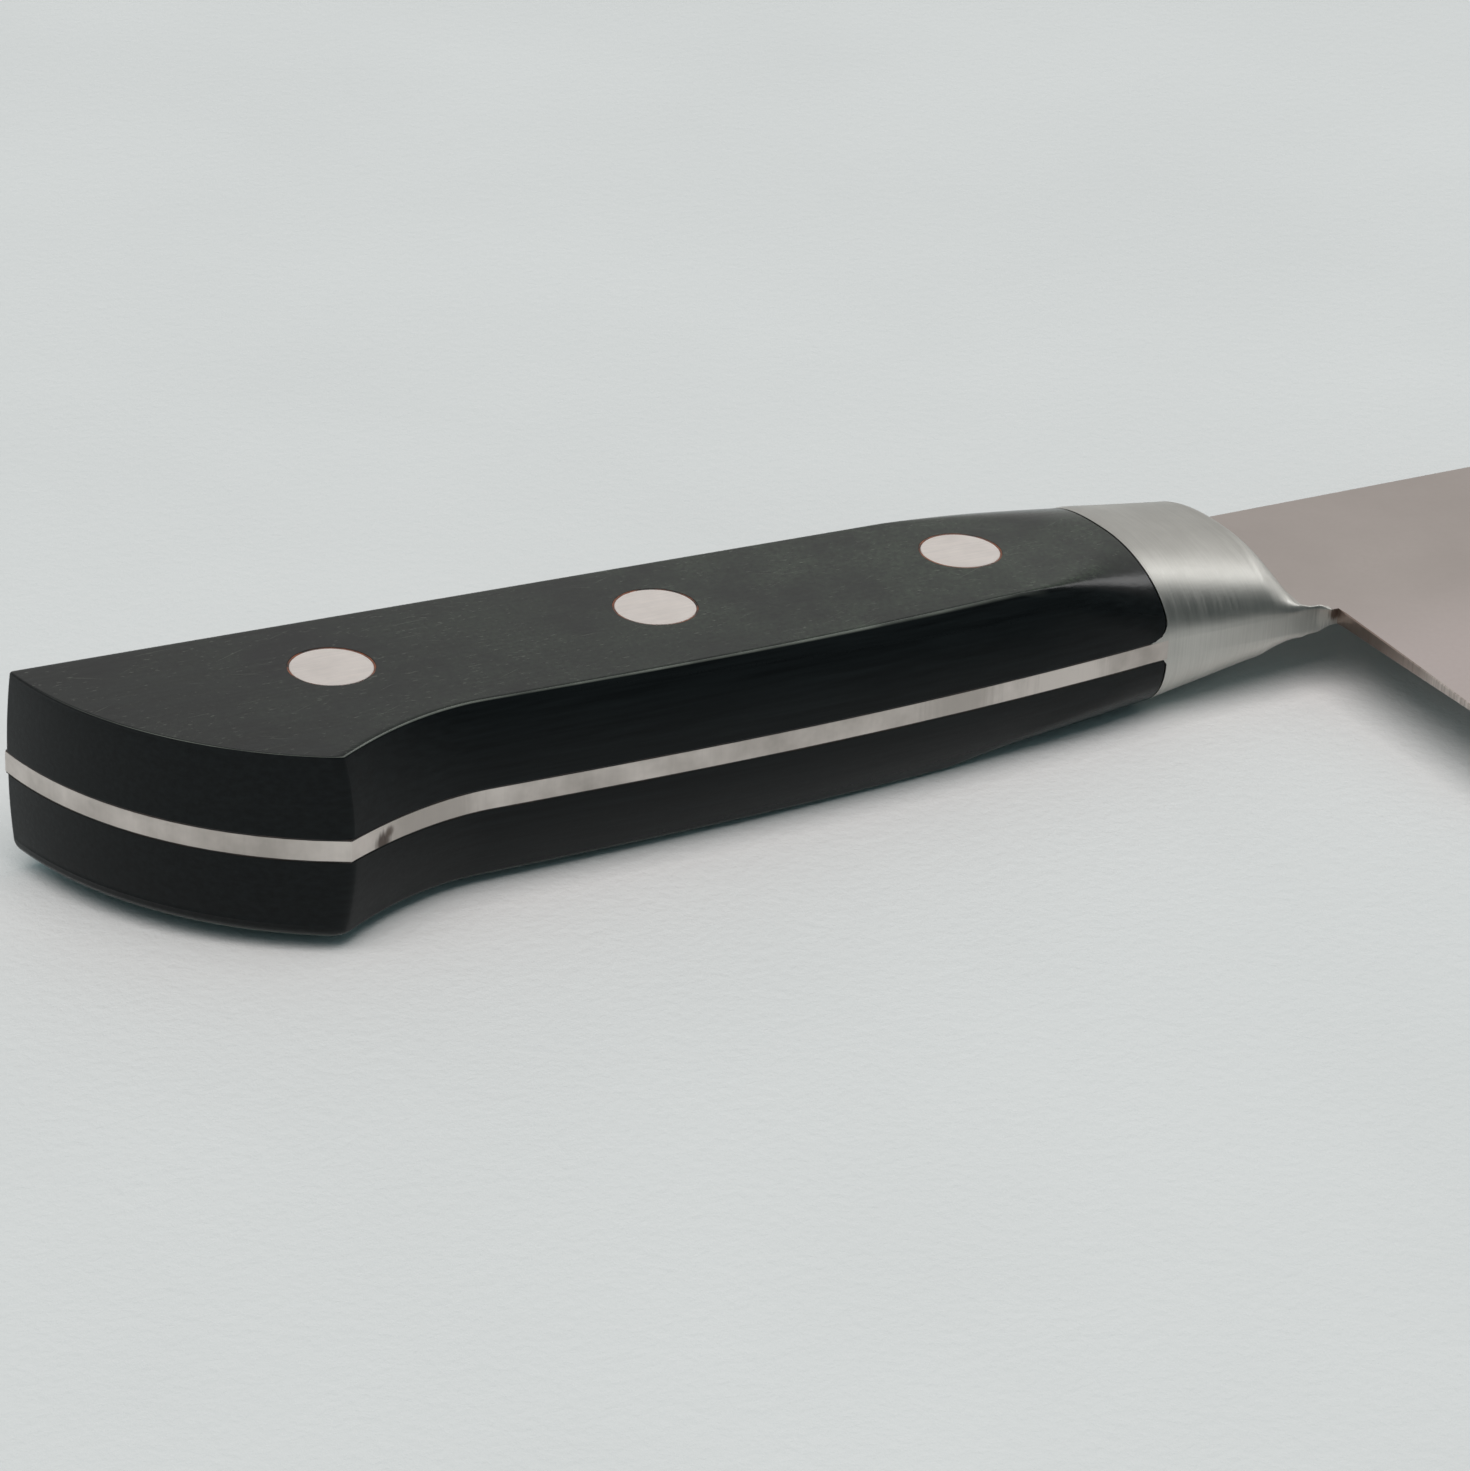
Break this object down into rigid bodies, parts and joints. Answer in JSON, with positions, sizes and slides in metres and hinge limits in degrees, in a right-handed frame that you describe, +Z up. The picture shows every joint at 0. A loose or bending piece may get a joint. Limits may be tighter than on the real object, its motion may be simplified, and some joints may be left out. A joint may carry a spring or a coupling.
{
  "type": "gyuto knife",
  "caption": "Western-handled gyuto kitchen knife: tall thin pointed steel blade with full tang, oval welded bolster and dark wood scales held by flush rivets, for slicing and chopping.",
  "frame": {"origin": "under the middle of the knife's outline, on the plane that the lowest corner of the lower flat touches, with the blade level", "axes": "+X from butt to point along the rivet line, +Y from cutting edge to spine, +Z up out of the right side of the blade"},
  "size_m": [0.3578, 0.0494, 0.0166],
  "materials": {
    "blade_steel": "fine matt ground stainless steel",
    "bolster_steel": "satin belt-ground stainless steel",
    "scale_wood": "black resin-pressed wood, sanded with a low sheen",
    "adhesive": "cured bonding resin",
    "rivet_metal": "nickel silver ground flush with the scales"
  },
  "bodies": {
    "root": {"blade_and_tang": "blade_steel", "bolster_right": "bolster_steel", "bolster_left": "bolster_steel", "scale_right": "scale_wood", "scale_left": "scale_wood", "adhesive_right": "adhesive", "adhesive_left": "adhesive", "rivet_front_male": "rivet_metal", "rivet_front_female": "rivet_metal", "rivet_middle_male": "rivet_metal", "rivet_middle_female": "rivet_metal", "rivet_rear_male": "rivet_metal", "rivet_rear_female": "rivet_metal"}
  },
  "joints": []
}
